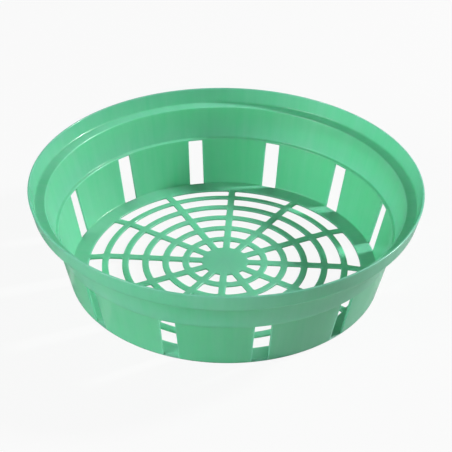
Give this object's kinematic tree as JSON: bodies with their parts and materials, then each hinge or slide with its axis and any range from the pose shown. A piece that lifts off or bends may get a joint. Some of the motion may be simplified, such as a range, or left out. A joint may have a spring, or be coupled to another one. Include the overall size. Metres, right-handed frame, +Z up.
{
  "type": "bulb planting basket",
  "caption": "Round, open plastic basket with a slotted, stepped wall and a spoke-and-ring grid floor, for planting flower bulbs in the ground.",
  "frame": {"origin": "centre of the underside, on the plane that the basket stands on", "axes": "+Z up along the basket's round axis, +X along one of the floor's spokes"},
  "size_m": [0.2597, 0.2598, 0.0695],
  "materials": {
    "basket_plastic": "semi-gloss mint green polypropylene, slightly translucent"
  },
  "bodies": {
    "root": {"basket": "basket_plastic"}
  },
  "joints": []
}
